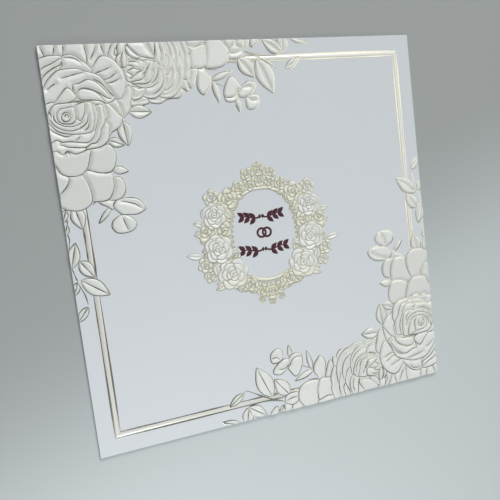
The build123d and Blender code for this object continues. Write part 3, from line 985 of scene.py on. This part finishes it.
def bed_leaves(outward, sway, width):
    """Leaves from the middle line of the oval's left half towards its outer or inner edge, leaning to either
    side in turn by the sway. They are longest at the side, where the wreath is widest."""
    number = np.arange(BED_LEAF_COUNT)
    along = (number + 0.5 - 0.25 * outward) / BED_LEAF_COUNT * np.pi
    way = np.column_stack([-np.sin(along), -np.cos(along)])
    foot = np.array(BED_MIDDLE) + way * BED_REACH
    lean = sway * np.where(number % 2 == 0, 1, -1)[:, None]
    reach = (BED_LEAF_LENGTH + BED_LEAF_SPARE * np.sin(along) ** 2)[:, None]
    tip = foot + reach * (outward * way + lean * way[:, ::-1] * (1, -1))
    rows = np.column_stack([foot - BED_LEAF_FOOT * outward * way, tip, np.full(BED_LEAF_COUNT, width)])
    return leaves(rows, ribbed=True)


def opening_band(downward):
    """Smooth band along the top or bottom of the oval opening's left half."""
    way = np.column_stack([-np.sin(OPENING_ANGLES), downward * np.cos(OPENING_ANGLES)])
    inner = np.array(OPENING_MIDDLE) + way * OPENING_REACH
    outer = np.array(OPENING_MIDDLE) + way * (np.array(OPENING_REACH) + OPENING_BAND)
    return [(on_card(np.vstack([inner, outer[::-1], inner[:1]])), True)]


wreath_layers = []
for x, y, radius, first in WREATH_ROSES:
    wreath_layers += heart_petals(x, y, HEART_REACH * radius, first)
    wreath_layers += cup_petals(x, y, radius, first, ROSE_RINGS)
wreath_layers += leaves(WREATH_LEAVES, ribbed=True)
white_count = len(wreath_layers)
for x, y, radius in WREATH_BLOSSOMS:
    eye = EYE_REACH * radius
    eye_row = (x - eye, y, x + eye, y, 2 * eye)
    wreath_layers += leaves([eye_row], ribbed=False, peak=ROUND_PEAK, blunt=ROUND_BLUNT)
    wreath_layers += cup_petals(x, y, radius, BLOSSOM_TURN * np.sin(x + y), BLOSSOM_RINGS)
wreath_layers += opening_band(-1) + opening_band(1)
wreath_layers += bed_leaves(1, sway=0.35, width=1.9) + bed_leaves(-1, sway=0.3, width=1.9)
back_count = len(wreath_layers)
wreath_layers += bed_leaves(1, sway=0.0, width=3.0) + bed_leaves(-1, sway=0.0, width=3.0)

# The grid's columns are counted from the middle of the card, where the two halves meet.
wreath_low = on_card(WREATH_LOW)
wreath_high = on_card(WREATH_HIGH)
wreath_low[0] = -WREATH_STEP * int(-wreath_low[0] / WREATH_STEP)
wreath_x, wreath_y = grid_over(wreath_low, wreath_high + (WREATH_STEP / 2, 0), WREATH_STEP)
wreath_owner, wreath_own, wreath_front = press(wreath_x, wreath_y, wreath_layers, WREATH_REACHES[1])
wreath_height = relief_height(
    wreath_x, wreath_y, wreath_own, wreath_front, WREATH_REACHES, WREATH_RISE, WREATH_LINE_HALF, ()
)

WREATH_COLOUR = (0.835, 0.850, 0.825, 1)
WREATH_SHADE = (0.790, 0.805, 0.770, 1)
WREATH_TINT = (0.815, 0.805, 0.650, 1)
# The crease colour is painted shade in the creases and at the back; the tint colour is the own tone of the
# cream bed and of the oval's ends.
WREATH_CREASE_SHADE = (0.270, 0.270, 0.180, 1)
# Painted shade in the creases and over the leaves at the very back, and the own tones of the cream bed and of
# the oval's two ends
WHITE_CREASE_SHADE, BED_CREASE_SHADE, BACK_SHADE = 0.42, 0.6, 0.45
WREATH_CREASE_REACH = 0.0009
WREATH_CREASE_POWER = 2.5
OWN_NARROWING = 1.6
BED_TINT = 0.7
END_TINT_FROM, END_TINT_OVER = 0.018, 0.014

wreath_paper = petal_material("pressed_wreath", WREATH_COLOUR, WREATH_SHADE, WREATH_CREASE_SHADE, WREATH_TINT)
wreath_away = np.minimum(wreath_own * OWN_NARROWING, wreath_front)
# Painted shade: darker along the creases, and over the leaves at the very back, where they show between the
# other layers.
wreath_crease_shade = np.where(wreath_owner < white_count, WHITE_CREASE_SHADE, BED_CREASE_SHADE)
wreath_crease_shade = wreath_crease_shade * crease_shade_falloff(wreath_away, WREATH_CREASE_REACH, WREATH_CREASE_POWER)
wreath_crease_shade = np.maximum(wreath_crease_shade, np.where(wreath_owner >= back_count, BACK_SHADE, 0.0))
wreath_end = np.clip((np.abs(wreath_y) - END_TINT_FROM) / END_TINT_OVER, 0, 1)
wreath_tint = np.maximum(np.where(wreath_owner >= white_count, BED_TINT, 0.0), wreath_end)
wreath_top = BOARD_TOP + RELIEF_LIFT + wreath_height
wreath_mesh = relief_mesh(wreath_x, wreath_y, wreath_top, wreath_owner >= 0)
relief_piece("wreath_left", wreath_mesh, (1, 1), wreath_paper, wreath_crease_shade, wreath_tint)
relief_piece("wreath_right", wreath_mesh, (-1, 1), wreath_paper, wreath_crease_shade, wreath_tint)

wreath_runs = shown_runs(wreath_layers, wreath_owner, wreath_low, WREATH_STEP, WREATH_FOIL_STEP)
wreath_runs = [(run[run[:, 0] <= 0], side) for run, side in wreath_runs]
wreath_runs = [(run, side) for run, side in wreath_runs if len(run) >= FOIL_LEAST]
wreath_places, wreath_faces = foil_mesh(wreath_runs, WREATH_FOIL_HALF, board_drape)
new_piece("wreath_foil_left", wreath_places, wreath_faces, gold_foil)
new_piece("wreath_foil_right", wreath_places * (-1, 1, 1), wreath_faces[:, ::-1], gold_foil)

# Printed ornament in the wreath
# Two leafy flourishes and a pair of linked rings in dark red ink, printed on the board inside the wreath.
# The ink stands a hair over the paper and is a little uneven in its depth.
INK_COLOUR = (0.045, 0.008, 0.017, 1)
INK_SHADE = (0.075, 0.014, 0.028, 1)
INK_WEAR_SCALE = 1200
INK_ROUGHNESS = 0.45
INK_UNEVEN = 0.2
INK_LIFT = 0.000015
INK_CROWN = 0.00002
INK_HALF = 0.00048
FLOURISHES = ((49.5, 45.7, 6.0), (49.4, 54.5, 6.8))
STEM_FROM, STEM_WAVE, STEM_STEPS = 0.12, 0.35, 60
STEM_WIDE, STEM_THINNING = 1.15, 0.7
INK_LEAF_SHARES = (0.28, 0.54, 0.80)
INK_LEAF_REACH, INK_LEAF_WIDTH = (1.75, 1.55), 1.2
INK_LEAF_TALL, INK_LEAF_LOWERING = 1.1, 0.3
INK_LEAF_STEPS, INK_LEAF_PEAK, INK_LEAF_TIP = 15, 0.8, 0.00003
DIAMOND_REACH, DIAMOND_WIDTH = 0.9, 1.1
RINGS = ((49.1, 50.1, 1.15), (50.6, 50.1, 1.15))
RING_STEPS, RING_WIDE = 73, 1.25


def ink_leaf(base, tip, width):
    """A leaf as a path along its axis and its half widths, by a sine of a power of the share, so that it is
    widest before its middle."""
    share = np.linspace(0, 1, INK_LEAF_STEPS)
    half = INK_LEAF_TIP + width * SIDE / 200 * np.abs(np.sin(np.pi * share ** INK_LEAF_PEAK))
    return on_card(np.linspace(base, tip, INK_LEAF_STEPS)), half


def flourish(x, y, reach):
    """A stem along a sine wave to either side of a diamond, with leaves in pairs along it."""
    made = []
    for side in (-1, 1):
        share = np.linspace(STEM_FROM, 1, STEM_STEPS)
        stem = np.column_stack([x + side * reach * share, y + STEM_WAVE * np.sin(2 * np.pi * share)])
        made.append((on_card(stem), np.full(STEM_STEPS, INK_HALF) * (STEM_WIDE - STEM_THINNING * share)))
        for at in INK_LEAF_SHARES:
            foot = np.array([x + side * reach * at, y + STEM_WAVE * np.sin(2 * np.pi * at)])
            tall = INK_LEAF_TALL - INK_LEAF_LOWERING * at
            for lift in (-1, 1):
                tip = foot + (side * INK_LEAF_REACH[0], lift * INK_LEAF_REACH[1] * tall)
                made.append(ink_leaf(foot, tip, INK_LEAF_WIDTH))
        made.append(ink_leaf((x, y), (x + side * DIAMOND_REACH, y), DIAMOND_WIDTH))
    return made


def linked_ring(x, y, radius):
    """A ring as a closed line."""
    angle = np.linspace(0, 2 * np.pi, RING_STEPS)
    path = np.column_stack([x + radius * np.cos(angle), y + radius * np.sin(angle)])
    return on_card(path), np.full(RING_STEPS, RING_WIDE * INK_HALF)


ink_lines = []
for row in FLOURISHES:
    ink_lines += flourish(*row)
ink_lines += [linked_ring(*row) for row in RINGS]
ink_material, ink_shader, ink_place = new_material("dark_red_ink")
ink_wear = ink_place.noise(INK_WEAR_SCALE, detail=3.0)
plug(ink_shader, {
    "Base Color": ink_wear.mix(INK_COLOUR, INK_SHADE),
    "Roughness": INK_ROUGHNESS + ink_wear * INK_UNEVEN,
    "Specular IOR Level": 0.4,
})
ink_meshes = [
    ribbon(path, half, np.full(len(path), BOARD_TOP + INK_LIFT), INK_CROWN) for path, half in ink_lines
]
new_piece("ink_ornament", *joined(ink_meshes), ink_material)

# Stage
# A pale floor under the card, with painted shade darkening it towards the top, and a large soft lamp beyond
# the card's top edge.
# Three weak cards at the right are what the foil mirrors, and a small lamp stands below the card.
# The camera is above the card, to the left of its middle.
FLOOR_HALF = 3.0
FLOOR_WAY = (0.31, -0.95, 0.0)
FLOOR_SHADE_FADE = (-0.015, 0.105)
# Painted shade: the floor fades from its own colour near the card's bottom to a darker far colour towards the
# top.
FLOOR_COLOUR = (0.545, 0.590, 0.603, 1)
FLOOR_SHADED_FAR = (0.350, 0.374, 0.372, 1)

floor_mesh = bpy.data.meshes.new("floor")
floor_corners = np.array([(-1, -1, 0), (1, -1, 0), (1, 1, 0), (-1, 1, 0)]) * FLOOR_HALF
floor_mesh.from_pydata(floor_corners.tolist(), [], [(0, 1, 2, 3)])
floor = bpy.data.objects.new("floor", floor_mesh)
bpy.context.collection.objects.link(floor)
floor_material, floor_shader, floor_place = new_material("pale_floor")
floor_along = floor_place.node(
    "VectorMath", {"operation": "DOT_PRODUCT"}, {0: floor_place, 1: FLOOR_WAY}, "Value"
)
floor_shade_share = floor_place.node(
    "MapRange",
    {"interpolation_type": "SMOOTHSTEP"},
    {"Value": floor_along, "From Min": FLOOR_SHADE_FADE[0], "From Max": FLOOR_SHADE_FADE[1]},
)
plug(floor_shader, {"Base Color": floor_shade_share.mix(FLOOR_SHADED_FAR, FLOOR_COLOUR), "Roughness": 0.7})
floor_mesh.materials.append(floor_material)

# Square soft lamps that face the card: name, place, size, power and colour.
LAMPS = (
    ("upper_lamp", (0.925, 2.542, 1.690), 1.2, 72.0, (1.0, 0.99, 0.97)),
    ("right_card", (1.357, 0.364, 1.56), 1.3, 7.6, (1.0, 0.99, 0.95)),
    ("top_card", (0.62, 0.55, 1.93), 0.75, 0.60, (1.0, 0.995, 0.95)),
    ("low_right_card", (1.064, -0.566, 1.72), 1.0, 1.0, (0.98, 1.0, 0.96)),
    ("lower_lamp", (-0.12, -0.415, 0.28), 0.25, 1.17, (0.96, 0.98, 1.0)),
)
for name, lamp_place, size, power, colour in LAMPS:
    lamp = bpy.data.lights.new(name, "AREA")
    lamp.shape = "SQUARE"
    lamp.size = size
    lamp.energy = power
    lamp.color = colour
    holder = bpy.data.objects.new(name, lamp)
    holder.location = lamp_place
    holder.rotation_euler = (-Vector(lamp_place)).to_track_quat("-Z", "Y").to_euler()
    bpy.context.collection.objects.link(holder)

WORLD_COLOUR = (0.92, 0.96, 1.0, 1)
WORLD_STRENGTH = 0.188
world = bpy.data.worlds.new("studio")
world.use_nodes = True
plug(world.node_tree.nodes["Background"], {"Color": WORLD_COLOUR, "Strength": WORLD_STRENGTH})
bpy.context.scene.world = world

# The camera's place and axes are worked out in sides of the card from the four corners in the picture.
CAMERA_PLACE = Vector((-0.489, 0.103, 1.361))
CAMERA_FORWARD = Vector((0.307, -0.101, -0.946))
CAMERA_UP = Vector((0.147, 0.987, -0.058))
CAMERA_LENS = 39.03
CAMERA_SENSOR = 36
CAMERA_NEAREST = 0.01

camera_data = bpy.data.cameras.new("camera")
camera_data.lens = CAMERA_LENS
camera_data.sensor_width = CAMERA_SENSOR
camera_data.clip_start = CAMERA_NEAREST
camera = bpy.data.objects.new("camera", camera_data)
forward = CAMERA_FORWARD.normalized()
right = forward.cross(CAMERA_UP).normalized()
up = right.cross(forward)
camera_turn = Matrix((right, up, -forward)).transposed().to_4x4()
camera.matrix_world = Matrix.Translation(CAMERA_PLACE * SIDE + Vector((0, 0, BOARD_TOP))) @ camera_turn
bpy.context.collection.objects.link(camera)
bpy.context.scene.camera = camera
bpy.context.scene.view_settings.view_transform = "Standard"
